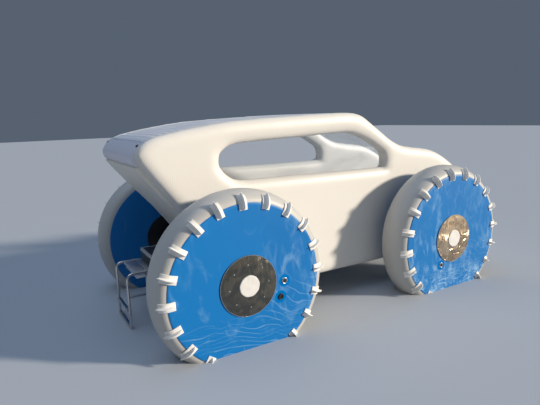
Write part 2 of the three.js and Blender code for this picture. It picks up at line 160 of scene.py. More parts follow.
class Graph:
    """One material's nodes, with its coordinates at hand."""

    def __init__(self, name: str) -> None:
        """Start a material that holds a Principled shader and its output.

        Args:
            name: The material's name.
        """
        self.material = bpy.data.materials.new(name)
        self.material.use_nodes = True
        self.tree = self.material.node_tree
        self.shader = self.tree.nodes["Principled BSDF"]

    def node(
        self, kind: str, settings: dict | None = None, inputs: dict | None = None, output: int | str = 0
    ) -> Signal:
        """Add a node of any type.

        Args:
            kind: The node's type name.
            settings: Properties that are set first.
            inputs: Values or signals by socket name or number.
            output: Which output socket to give back.

        Returns:
            The output as a signal.
        """
        made = self.tree.nodes.new(kind)
        for key, value in (settings or {}).items():
            setattr(made, key, value)
        for key, value in (inputs or {}).items():
            self._feed(made.inputs[key], value)
        return Signal(self, made.outputs[output])

    def _feed(self, socket: bpy.types.NodeSocket, value: "Signal | float | Sequence[float]") -> None:
        """Link a signal to a socket, or set the socket's own value.

        Args:
            socket: The socket to fill.
            value: A signal, or the value itself.
        """
        if isinstance(value, Signal):
            self.tree.links.new(value.socket, socket)
        elif socket.type == "RGBA":
            socket.default_value = (*value, 1.0)
        else:
            socket.default_value = value

    def set(self, **values: "Signal | float | Sequence[float]") -> None:
        """Feed the Principled shader's sockets, named with _ for each space."""
        for key, value in values.items():
            self._feed(self.shader.inputs[key.replace("_", " ")], value)

    def place(self, scale: Sequence[float] = (1, 1, 1)) -> Signal:
        """Object coordinates in metres, scaled along each axis."""
        here = self.node("ShaderNodeTexCoord", output="Object")
        return self.node("ShaderNodeMapping", {"vector_type": "POINT"}, {"Vector": here, "Scale": scale})

    def axis(self, name: str) -> Signal:
        """One of the X, Y or Z object coordinates."""
        here = self.node("ShaderNodeTexCoord", output="Object")
        return self.node("ShaderNodeSeparateXYZ", inputs={0: here}, output=name)

    def cloud(
        self, scale: float, detail: float = 3.0, stretch: Sequence[float] = (1, 1, 1), warp: float = 0.0
    ) -> Signal:
        """Noise from 0 to 1: features in a metre, finer layers, scale along each axis and distortion."""
        values = {"Vector": self.place(stretch), "Scale": scale, "Detail": detail, "Distortion": warp}
        return self.node("ShaderNodeTexNoise", inputs=values)

    def mix(self, share: "Signal | float", first: "Signal | Colour", second: "Signal | Colour") -> Signal:
        """Mix two colours, with this share of the second."""
        settings = {"data_type": "RGBA", "clamp_factor": True}
        return self.node("ShaderNodeMix", settings, {0: share, 6: first, 7: second}, output=2)

    def bump(self, height: Signal, strength: float) -> Signal:
        """A normal from a height in metres, as strong as is given."""
        return self.node("ShaderNodeBump", inputs={"Height": height, "Strength": strength, "Distance": 1.0})


# Finishes

@dataclass(frozen=True)
class Finish:
    """A plain finish; its kinds add their own patterns."""

    name: str
    slot: str
    colour: Colour
    roughness: float

    def paint(self, graph: Graph) -> None:
        """Lay the finish on a graph."""
        graph.set(Base_Color=self.colour, Roughness=self.roughness)


@dataclass(frozen=True)
class Matt(Finish):
    """A dull plain surface without glare."""

    refraction: float = 1.08

    def paint(self, graph: Graph) -> None:
        """Lay the colour under a faint sheen."""
        graph.set(Base_Color=self.colour, Roughness=self.roughness, IOR=self.refraction)


@dataclass(frozen=True)
class CoatedFabric(Finish):
    """Welded coated fabric with drop-stitch lines, dust, a fine weave and, when given, bluish skylight painted
    on inner faces.
    """

    shade: Colour = (0.60, 0.57, 0.52)
    rib_pitch: float = 0.021
    rib_depth: float = 0.0003
    ribs_from: float = 0.8
    ribs_full: float = 1.25
    dust: float = 0.05
    coat: float = 0.12
    weave_scale: float = 420.0
    weave_depth: float = 0.0002
    swell_depth: float = 0.003
    painted_skylight: Colour | None = None
    painted_skylight_half: float = 0.64
    painted_skylight_edge: float = 0.05

    def paint(self, graph: Graph) -> None:
        """Lay the coat with bluish skylight painted on inner faces, cloud them with dust and press the threads
        through.

        Args:
            graph: The material's nodes.
        """
        dust = graph.cloud(1.1, 5.0, warp=0.4).step(0.45, 0.8)
        scuffs = graph.cloud(9.0, 6.0, (1, 1, 0.35)).step(0.58, 0.8)
        across = graph.axis("X") * (2 * math.pi / self.rib_pitch)
        upper = (graph.axis("Z") - REAR_HUB.z).step(self.ribs_from, self.ribs_full, 0.45, 1.0)
        ribs = across.wave() * graph.cloud(2.3, 2.0).step(0.35, 0.65) * upper
        coat = self.colour
        # Painted light: faces inside the half-width get a bluish tone that stands for skylight through the
        # clear film.
        if self.painted_skylight:
            outer = self.painted_skylight_half + self.painted_skylight_edge
            inside = abs(graph.axis("Y")).step(self.painted_skylight_half, outer, 1.0, 0.0)
            coat = graph.mix(inside, self.colour, self.painted_skylight)
        tone = graph.mix(dust * self.dust + scuffs * 0.03, coat, self.shade)
        tone = graph.mix(ribs.step(0.2, 1.0) * 0.02, tone, self.shade)
        threads = {"Vector": graph.place(), "Scale": self.weave_scale}
        weave = graph.node("ShaderNodeTexVoronoi", {"feature": "F1"}, threads)
        relief = ribs * self.rib_depth + weave * self.weave_depth + graph.cloud(3.2, 2.0) * self.swell_depth
        graph.set(
            Base_Color=tone,
            Roughness=self.roughness + scuffs * 0.12,
            Normal=graph.bump(relief, 0.8),
            Coat_Weight=self.coat,
            Coat_Roughness=0.35,
        )


@dataclass(frozen=True)
class CausticLines:
    """Thin wavy lines of painted caustic light: how fast their wave runs upwards, along and with a bend, and
    how thin they are.
    """

    upwards: float
    along: float
    bent: float
    thin: float

    def draw(self, height: Signal, along: Signal, bend: Signal) -> Signal:
        """The lines as a mask."""
        wave = (height * self.upwards + along * self.along + bend * self.bent).wave()
        return wave.step(self.thin, 1.0)


@dataclass(frozen=True)
class WheelFabric(Finish):
    """Blue coated fabric of a wheel's face, with pale caustic light, reflected up from the water, painted into
    its colour.
    """

    hub_x: float
    # Colour of the painted caustic light; the three shares below set how much the lines, the clouds and the low
    # strokes paint.
    caustic_colour: Colour = (0.30, 0.53, 0.78)
    deep: Colour = (0.003, 0.12, 0.40)
    caustic_lines: float = 0.36
    caustic_clouds: float = 0.4
    caustic_strokes: float = 0.0
    level_lines: CausticLines = CausticLines(88.0, 24.0, 36.0, 0.80)
    second_lines: CausticLines = CausticLines(120.0, 6.0, 30.0, 0.93)
    slant_lines: CausticLines = CausticLines(62.0, 34.0, 26.0, 0.90)
    wrinkle_depth: float = 0.004
    refraction: float = 1.36

    def paint(self, graph: Graph) -> None:
        """Paint pale caustic light from the water into the blue: long thin wavy lines low down, slanting ones
        to the right, and soft clouds above.

        Every band is a height over the hub or a distance ahead of it, in metres.

        Args:
            graph: The material's nodes.
        """
        side_way = graph.axis("X") - self.hub_x
        height = graph.axis("Z") - REAR_HUB.z
        low = height.step(-0.22, -0.42)
        bend_a = graph.cloud(1.5, 1.2, (1.3, 1, 1.7), 0.4)
        bend_b = graph.cloud(2.1, 1.2, (1.2, 1, 1.4), 0.5)
        broken = graph.cloud(3.4, 3.0, (0.9, 1, 2.6)).step(0.44, 0.62)
        level = self.level_lines.draw(height, side_way, bend_a) * broken * low
        second = self.second_lines.draw(height, side_way, bend_b) * (1 - broken) * low
        right = side_way.step(0.12, 0.30) * height.step(0.0, -0.12) * height.step(-0.5, -0.3)
        slant = self.slant_lines.draw(height, side_way, bend_b) * right
        clouds = graph.cloud(3.0, 5.0, (2.0, 1, 0.9), 1.4).step(0.50, 0.76) * side_way.step(0.05, 0.40)
        clouds = clouds * height.step(-0.45, -0.2)
        faint = graph.cloud(2.6, 5.0, (1.7, 1, 0.9), 1.3).step(0.54, 0.80)
        strokes = graph.cloud(7.0, 3.0, (1.7, 1, 0.75), 0.6).step(0.46, 0.80)
        strokes = strokes * height.step(0.5, -0.4, 0.6, 1.2) * side_way.step(0.3, -0.4, 0.65, 1.2)
        ripples = (graph.cloud(4.5, 3.0, (1.0, 1, 1.7), 1.0) * 34.0).wave().step(0.72, 1.0)
        caustic_speckle = graph.cloud(4.0, 5.0, (1.6, 1, 1.0)).step(0.42, 0.78)
        dense = ripples * height.step(-0.30, -0.54) * 1.3 + caustic_speckle * height.step(-0.1, -0.5) * 0.7
        lines = level + second * 0.7 + slant * 0.8
        # Painted light: every pale mask here stands for sunlight reflected up from the water, mixed into the
        # base colour.
        pale = lines * self.caustic_lines + (clouds + faint * 0.7) * self.caustic_clouds + (strokes + dense) * self.caustic_strokes
        depth = graph.cloud(1.3, 3.0, (1, 1, 0.6)).step(0.4, 0.75)
        blue = graph.mix(depth * 0.25, self.colour, self.deep)
        graph.set(
            Base_Color=graph.mix(pale, blue, self.caustic_colour),
            Roughness=self.roughness + clouds * 0.1,
            Normal=graph.bump(graph.cloud(5.0, 3.0) * self.wrinkle_depth, 0.5),
            IOR=self.refraction,
        )


@dataclass(frozen=True)
class ClearFilm(Finish):
    """Clear flexible film with a milky veil and creases."""

    clearest: float = 0.20
    ripple_depth: float = 0.02
    refraction: float = 1.45

    def paint(self, graph: Graph) -> None:
        """Thicken the film where it is creased or dusty.

        Args:
            graph: The material's nodes.
        """
        creases = (1 - abs(graph.cloud(1.9, 1.5, (1, 0.5, 1), 0.4) * 2.0 - 1.0)).step(0.93, 1.0)
        veil = graph.cloud(1.4, 2.0).step(0.35, 0.75)
        graph.set(
            Base_Color=self.colour,
            Roughness=self.roughness + veil * 0.10,
            Alpha=self.clearest + veil * 0.05 + creases * 0.06,
            Normal=graph.bump(graph.cloud(2.2, 1.0) * self.ripple_depth, 0.5),
            IOR=self.refraction,
        )


@dataclass(frozen=True)
class PolishedSteel(Finish):
    """Mirror stainless plate with fine scratches and spots; its base colour and its mottled patches are painted
    reflection.
    """

    reflection_patch_colour: Colour = (0.55, 0.42, 0.28)
    waves: float = 0.012
    wave_detail: float = 4.0
    calm_above: float = 1.0
    spot_colour: Colour = (0.7, 0.66, 0.6)
    scratch_depth: float = 0.0004

    def paint(self, graph: Graph) -> None:
        """Scratch and spot the mirror, paint mottled reflection patches into its colour, and calm its waves
        above the hub.

        Args:
            graph: The material's nodes.
        """
        long_way = graph.cloud(60.0, 6.0, (1.0, 1.0, 0.12))
        patches = graph.cloud(6.5, self.wave_detail, warp=1.4)
        spots = graph.cloud(70.0, 1.0).step(0.70, 0.76)
        # Painted reflection: the patches mix the base colour with a lighter reflected colour; the same noise
        # also bends the normal below.
        tone = graph.mix(patches.step(0.42, 0.62), self.colour, self.reflection_patch_colour)
        uneven = (graph.axis("Z") - REAR_HUB.z).step(-0.02, 0.10, 1.0, self.calm_above)
        graph.set(
            Base_Color=graph.mix(spots * 0.25, tone, self.spot_colour),
            Metallic=1.0,
            Roughness=self.roughness + long_way.step(0.4, 0.9) * 0.16,
            Normal=graph.bump(patches * uneven * self.waves + long_way * self.scratch_depth, 0.8),
        )


@dataclass(frozen=True)
class BrushedMetal(Finish):
    """Brushed or drawn metal with a soft grain."""

    grain_depth: float = 0.0006

    def paint(self, graph: Graph) -> None:
        """Draw the grain and dull it in patches.

        Args:
            graph: The material's nodes.
        """
        grain = graph.cloud(90.0, 4.0, (0.08, 1.0, 1.0))
        dull = graph.cloud(5.0, 4.0).step(0.4, 0.8)
        graph.set(
            Base_Color=graph.mix(dull * 0.4, self.colour, tuple(0.55 * c for c in self.colour)),
            Metallic=1.0,
            Roughness=self.roughness + grain * 0.14 + dull * 0.12,
            Normal=graph.bump(grain * self.grain_depth, 0.6),
        )


@dataclass(frozen=True)
class Moulded(Finish):
    """Moulded plastic or rubber with a fine grain and worn patches."""

    grain_depth: float = 0.0008

    def paint(self, graph: Graph) -> None:
        """Grain the surface and lighten it where it is worn.

        Args:
            graph: The material's nodes.
        """
        grain = graph.cloud(260.0, 2.0)
        wear = graph.cloud(7.0, 5.0).step(0.5, 0.8)
        worn = tuple(min(1.0, 1.4 * c + 0.015) for c in self.colour)
        graph.set(
            Base_Color=graph.mix(wear * 0.35, self.colour, worn),
            Roughness=self.roughness + wear * 0.12,
            Normal=graph.bump(grain * self.grain_depth, 0.6),
        )


@dataclass(frozen=True)
class Canvas(Finish):
    """Woven or coated cloth with a visible weave and soft creases."""

    weave_pitch: float = 0.004
    weave_depth: float = 0.0004
    crease_depth: float = 0.006

    def paint(self, graph: Graph) -> None:
        """Weave two threads and cloud the dye.

        Args:
            graph: The material's nodes.
        """
        turn = 2 * math.pi / self.weave_pitch
        warp = (graph.axis("X") * turn).wave() * (graph.axis("Y") * turn).wave()
        soft = graph.cloud(4.0, 4.0)
        darker = tuple(0.7 * c for c in self.colour)
        graph.set(
            Base_Color=graph.mix(soft.step(0.4, 0.8) * 0.3 + warp * 0.05, self.colour, darker),
            Roughness=self.roughness,
            Normal=graph.bump(warp * self.weave_depth + soft * self.crease_depth, 0.7),
        )


# The hull's inner faces carry a painted bluish skylight tone.
HULL_WHITE = CoatedFabric("hull white", "hull_white", (0.81, 0.775, 0.71), 0.46, painted_skylight=(0.87, 0.90, 0.91))
# The rear wall's white is painted warmer for the warm light bounced onto it from below.
STERN_WHITE_PAINTED_WARM_BOUNCE = CoatedFabric("stern white painted warm bounce", "hull_white", (0.94, 0.87, 0.73), 0.46)
DRUM_WHITE = CoatedFabric(
    "drum white", "hull_white", (0.55, 0.535, 0.50), 0.5, shade=(0.42, 0.41, 0.39), rib_depth=0.0, dust=0.2
)
# Roof and bolster are one fabric: the roof's copy is painted lighter for the skylight on its top, the bolster's
# painted darker and bluer for the shade on its sloping back.
ROOF_WHITE_PAINTED_LIGHTER = CoatedFabric(
    "roof white painted lighter", "roof_fabric", (0.93, 0.93, 0.96), 0.42, shade=(0.74, 0.76, 0.84), rib_depth=0.0
)
BOLSTER_WHITE_PAINTED_SHADE = CoatedFabric(
    "bolster white painted shade", "roof_fabric", (0.78, 0.76, 0.82), 0.42, shade=(0.60, 0.60, 0.68), rib_depth=0.0
)
CLEAT_WHITE = Moulded("cleat white", "hull_white", (0.88, 0.85, 0.79), 0.5)
CAP_WHITE = Canvas("cap white", "hull_white", (0.85, 0.82, 0.77), 0.55, 0.006)
# Both wheel blues carry painted caustic light from the water; the front one has more strokes low down.
REAR_BLUE = WheelFabric("rear wheel blue", "wheel_blue", (0.003, 0.185, 0.52), 0.45, REAR_HUB.x)
FRONT_BLUE = WheelFabric(
    "front wheel blue", "wheel_blue", (0.006, 0.19, 0.53), 0.45, FRONT_HUB_X,
    caustic_lines=0.25, caustic_clouds=0.2, caustic_strokes=0.48,
)
PATCH_BLUE = Matt("patch blue", "wheel_blue", (0.0, 0.17, 0.52), 0.5)
LID_GREY = Moulded("lid grey", "black_plate", (0.42, 0.43, 0.44), 0.4)
CLEAR = ClearFilm("clear film", "clear_film", (0.80, 0.84, 0.88), 0.08)
# One stainless for all hub plates: the rear ones are painted dark for the dark they reflect, the front ones
# painted gold for the warm things they reflect.
STEEL_PAINTED_DARK_REFLECTION = PolishedSteel(
    "rear plate painted dark reflection", "stainless", (0.142, 0.138, 0.118), 0.24, reflection_patch_colour=(0.225, 0.195, 0.150)
)
STEEL_PAINTED_WARM_REFLECTION = PolishedSteel(
    "front plate painted warm reflection", "stainless", (0.60, 0.43, 0.28), 0.22, reflection_patch_colour=(0.88, 0.66, 0.43),
    waves=0.045, wave_detail=1.8, calm_above=0.12,
)
BRIGHT_STEEL = BrushedMetal("bright steel", "stainless", (0.68, 0.66, 0.63), 0.16)
ALUMINIUM = BrushedMetal("aluminium", "aluminium", (0.62, 0.63, 0.66), 0.3)
BLACK = Moulded("black", "black_plate", (0.012, 0.012, 0.014), 0.42)
SEAT = Canvas("seat cloth", "seat_fabric", (0.70, 0.72, 0.76), 0.6)


@cache
def material_of(finish: Finish) -> bpy.types.Material:
    """The material of a finish, made once.

    Args:
        finish: What the material is for.

    Returns:
        The material, already painted.
    """
    graph = Graph(finish.name.replace(" ", "_"))
    finish.paint(graph)
    return graph.material


# Modelling by operators

POLE_GAP = 1e-6
TRIANGLE_GAP = 1e-5
FLAT_ANGLE = 0.5
BEND_STEPS = 8


def choose(piece: Piece) -> None:
    """Select one object alone and make it active.

    Args:
        piece: The object to select.
    """
    bpy.ops.object.select_all(action="DESELECT")
    piece.select_set(True)
    bpy.context.view_layer.objects.active = piece


def new_piece(name: str) -> Piece:
    """Name the object that an operator has just made.

    Args:
        name: Its name.

    Returns:
        The object.
    """
    piece = bpy.context.object
    piece.name = name
    piece.data.name = name
    return piece


def primitive(name: str, add: Callable[..., set[str]], **settings: object) -> Piece:
    """Add a primitive with nothing else selected.

    Args:
        name: The new piece's name.
        add: The operator that adds it.
        **settings: The operator's settings.

    Returns:
        The new piece.
    """
    bpy.ops.object.select_all(action="DESELECT")
    add(**settings)
    return new_piece(name)


def face_out() -> None:
    """Turn all faces of the mesh in edit mode outwards."""
    bpy.ops.mesh.select_all(action="SELECT")
    bpy.ops.mesh.normals_make_consistent(inside=False)


@contextmanager
def editing(piece: Piece) -> Iterator[bmesh.types.BMesh]:
    """Hold one object in edit mode.

    Args:
        piece: The object to shape.

    Yields:
        Its mesh in edit mode.
    """
    choose(piece)
    bpy.ops.object.mode_set(mode="EDIT")
    yield bmesh.from_edit_mesh(piece.data)
    bpy.ops.object.mode_set(mode="OBJECT")


def modified(piece: Piece, kind: str, **settings: object) -> Piece:
    """Add a modifier and apply it.

    Args:
        piece: The object to change.
        kind: The modifier's type.
        **settings: The modifier's properties.

    Returns:
        The same object.
    """
    choose(piece)
    modifier = piece.modifiers.new(kind.lower(), kind)
    for key, value in settings.items():
        setattr(modifier, key, value)
    bpy.ops.object.modifier_apply(modifier=modifier.name)
    return piece


def edged(piece: Piece, width: float, sharp: float) -> Piece:
    """Bevel a piece's edges that are sharper than an angle in degrees."""
    angle = math.radians(sharp)
    return modified(piece, "BEVEL", width=width, segments=2, limit_method="ANGLE", angle_limit=angle)


def lofted(name: str, rings: Sequence[Sequence[Vector]], closed: bool = False) -> Piece:
    """Extrude a circle from ring to ring.

    Args:
        name: The piece's name.
        rings: Rings of points, all with the same count.
        closed: True if the last ring joins the first; otherwise both ends are filled.

    Returns:
        The closed piece.
    """
    piece = primitive(name, bpy.ops.mesh.primitive_circle_add, vertices=len(rings[0]), fill_type="NOTHING")
    with editing(piece) as mesh:
        for vertex, place in zip(mesh.verts, rings[0]):
            vertex.co = place
        for ring in rings[1:]:
            bpy.ops.mesh.extrude_region_move()
            mesh.verts.index_update()
            chosen = sorted((v for v in mesh.verts if v.select), key=lambda v: v.index)
            for vertex, place in zip(chosen, ring):
                vertex.co = place
    with editing(piece) as mesh:
        open_edges = [edge for edge in mesh.edges if edge.is_boundary]
        bpy.ops.mesh.select_all(action="DESELECT")
        if not closed:
            bpy.ops.mesh.select_mode(type="EDGE")
        for edge in open_edges:
            edge.select_set(True)
        if closed:
            bpy.ops.mesh.bridge_edge_loops()
        else:
            bpy.ops.mesh.edge_face_add()
        face_out()
    return piece


def spun(name: str, profile: Profile, steps: int) -> Piece:
    """Turn a closed profile of radius and Y round the Y axis.

    Args:
        name: The piece's name.
        profile: Radius and Y of each corner; a radius of 0 makes a closed pole.
        steps: Facets in a full turn.

    Returns:
        The closed piece.
    """
    rings = []
    for step in range(steps):
        turn = 2 * math.pi * step / steps
        out = Vector((math.cos(turn), 0.0, math.sin(turn)))
        rings.append([out * radius + Vector((0.0, along, 0.0)) for radius, along in profile])
    piece = lofted(name, rings, closed=True)
    if min(radius for radius, _ in profile) == 0.0:
        with editing(piece):
            bpy.ops.mesh.select_all(action="SELECT")
            bpy.ops.mesh.remove_doubles(threshold=POLE_GAP)
            bpy.ops.mesh.delete_loose()
            face_out()
    return piece


def arc(centre: tuple[float, float], radius: float, start: float, end: float, steps: int) -> Profile:
    """Points along an arc, angles in degrees."""
    turns = [math.radians(start + (end - start) * i / steps) for i in range(steps + 1)]
    return [(centre[0] + radius * math.cos(t), centre[1] + radius * math.sin(t)) for t in turns]


def rimmed(
    radius: float, top: float, edge: float, steps: int, base: float = 0.0, bore: float = 0.0
) -> Profile:
    """The profile of a round plate between two heights, with its rim rounded at the top."""
    return [(bore, top), *arc((radius - edge, top + edge), edge, -90, 0, steps), (radius, base), (bore, base)]


def tube(name: str, points: Sequence[Vector], radius: float, bend: float, sides: int = 20) -> Piece:
    """A bent tube through points, with round corners.

    Args:
        name: The piece's name.
        points: The corners of its path.
        radius: The tube's radius.
        bend: How far from a corner its bend starts.
        sides: Facets round it.

    Returns:
        The closed piece.
    """
    path = [points[0]]
    for before, corner, after in zip(points, points[1:], points[2:]):
        start = corner + (before - corner).normalized() * bend
        end = corner + (after - corner).normalized() * bend
        for i in range(BEND_STEPS + 1):
            share = i / BEND_STEPS
            path.append(start.lerp(corner, share).lerp(corner.lerp(end, share), share))
    path.append(points[-1])
    rings = []
    side = (path[1] - path[0]).orthogonal().normalized()
    for i, place in enumerate(path):
        along = (path[min(i + 1, len(path) - 1)] - path[max(i - 1, 0)]).normalized()
        side = (side - along * side.dot(along)).normalized()
        other = along.cross(side)
        turns = [2 * math.pi * k / sides for k in range(sides)]
        rings.append([place + (side * math.cos(t) + other * math.sin(t)) * radius for t in turns])
    return lofted(name, rings)


def block(name: str, low: Vector, high: Vector, edge: float) -> Piece:
    """A box between two corners with rounded edges.

    Args:
        name: The piece's name.
        low: Its lowest corner.
        high: Its highest corner.
        edge: How far each edge is rounded.

    Returns:
        The closed piece.
    """
    piece = primitive(name, bpy.ops.mesh.primitive_cube_add, size=1.0)
    size = high - low
    piece.data.transform(Matrix.Translation((low + high) / 2) @ Matrix.Diagonal((*size, 1.0)))
    return modified(piece, "BEVEL", width=edge, segments=3, limit_method="NONE")


def hub_block(name: str, low: Sequence[float], high: Sequence[float], edge: float) -> Piece:
    """A box with rounded edges between two corners that are given from the rear hub."""
    return block(name, hub_point(*low), hub_point(*high), edge)


def copy_of(node: str, name: str) -> Piece:
    """A merged copy of a CAD node's mesh.

    Args:
        node: The CAD node.
        name: The copy's name.

    Returns:
        The copy, with its triangles joined.
    """
    piece = linked(name, frame["nodes"][node].data.copy())
    piece.data.materials.clear()
    with editing(piece):
        bpy.ops.mesh.select_all(action="SELECT")
        bpy.ops.mesh.remove_doubles(threshold=TRIANGLE_GAP)
        bpy.ops.mesh.dissolve_limited(angle_limit=math.radians(FLAT_ANGLE))
    return piece


def softened(node: str, name: str, voxel: float, rounds: int) -> Piece:
    """A CAD solid's copy, remeshed evenly and relaxed into a soft inflated form."""
    piece = modified(copy_of(node, name), "REMESH", mode="VOXEL", voxel_size=voxel, use_smooth_shade=True)
    return modified(piece, "SMOOTH", factor=0.5, iterations=rounds)


def moved(piece: Piece, matrix: Matrix) -> Piece:
    """Move a piece's mesh, and turn its faces out again after a mirror.

    Args:
        piece: The piece to move.
        matrix: Where to.

    Returns:
        The same piece.
    """
    piece.data.transform(matrix)
    if matrix.determinant() < 0:
        piece.data.flip_normals()
    return piece


def joined(name: str, pieces: Iterable[Piece]) -> Piece:
    """Join pieces into one object.

    Args:
        name: The joined piece's name.
        pieces: The pieces to join.

    Returns:
        The joined piece.
    """
    pieces = list(pieces)
    choose(pieces[0])
    for piece in pieces[1:]:
        piece.select_set(True)
    bpy.ops.object.join()
    return new_piece(name)


def finished(
    piece: Piece, finish: Finish, body: str, replaces: Sequence[str] = (), angle: float = 40.0
) -> Piece:
    """Dress a piece and put it on its body.

    Args:
        piece: The piece, in place.
        finish: What it is made of.
        body: The CAD body that it rides on.
        replaces: The CAD nodes that it stands for.
        angle: Edges sharper than this stay sharp.

    Returns:
        The same piece.
    """
    choose(piece)
    bpy.ops.object.shade_smooth_by_angle(angle=math.radians(angle))
    piece.data.materials.clear()
    piece.data.materials.append(material_of(finish))
    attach(piece, body)
    if replaces:
        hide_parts(*replaces)
    log.info("%s: %d faces on %s", piece.name, len(piece.data.polygons), body)
    return piece


# The stage

@dataclass(frozen=True)
class PhotoCamera:
    """The camera, where the photograph was taken from."""

    from_hub: tuple[float, float, float] = (-1.8984, -5.046, 1.5740)
    azimuth: float = -30.24
    elevation: float = 10.58
    roll: float = -1.65
    focal_px: float = 460.0
    frame_px: float = 540.0
    sensor: float = 36.0
    reach: float = 400.0

    def build(self) -> None:
        """Make the scene's camera."""
        back = from_angles(self.azimuth, self.elevation)
        roll = math.radians(self.roll)
        right = (-back).cross(Vector((0, 0, 1))).normalized()
        up = right.cross(-back)
        rolled_right = right * math.cos(roll) + up * math.sin(roll)
        rolled_up = up * math.cos(roll) - right * math.sin(roll)
        data = bpy.data.cameras.new("photo_camera")
        data.sensor_width = self.sensor
        data.lens = self.focal_px / self.frame_px * self.sensor
        data.clip_end = self.reach
        camera = linked("photo_camera", data)
        turned = Matrix((rolled_right, rolled_up, back)).transposed().to_4x4()
        camera.matrix_world = Matrix.Translation(hub_point(*self.from_hub)) @ turned
        bpy.context.scene.camera = camera


@dataclass(frozen=True)
class Sun:
    """A far light; its angles are in degrees, and the azimuth goes from -Y towards +X."""

    name: str
    azimuth: float
    elevation: float
    strength: float
    softness: float
    colour: Colour

    def build(self) -> None:
        """Hang the light where it shines from."""
        data = bpy.data.lights.new(self.name, "SUN")
        data.energy = self.strength
        data.angle = math.radians(self.softness)
        data.color = self.colour
        light = linked(self.name, data)
        light.rotation_mode = "QUATERNION"
        light.rotation_quaternion = (-from_angles(self.azimuth, self.elevation)).to_track_quat("-Z", "Y")


SKY: Colour = (0.56, 0.71, 0.95)


@dataclass(frozen=True)
class Studio:
    """A pale floor at the waterline under soft light with a warm low key."""

    floor_reach: float = 120.0
    floor: Finish = Matt("floor", "", (0.49, 0.52, 0.56), 0.9)
    sky_strength: float = 0.17
    suns: Sequence[Sun] = (
        Sun("key", 48.5, 17.0, 4.4, 5.0, (1.0, 0.90, 0.76)), Sun("overhead", 240.0, 76.0, 1.0, 60.0, SKY)
    )

    def build(self) -> None:
        """Lay the floor and light the scene."""
        bpy.context.scene.view_settings.view_transform = "Standard"
        floor = primitive("studio_floor", bpy.ops.mesh.primitive_plane_add, size=self.floor_reach)
        floor.location.z = REAR_HUB.z - WATERLINE_DROP
        floor.data.materials.append(material_of(self.floor))
        world = bpy.data.worlds.new("studio")
        world.use_nodes = True
        sky = world.node_tree.nodes["Background"]
        sky.inputs["Color"].default_value = (*SKY, 1.0)
        sky.inputs["Strength"].default_value = self.sky_strength
        bpy.context.scene.world = world
        for sun in self.suns:
            sun.build()


# Wheels

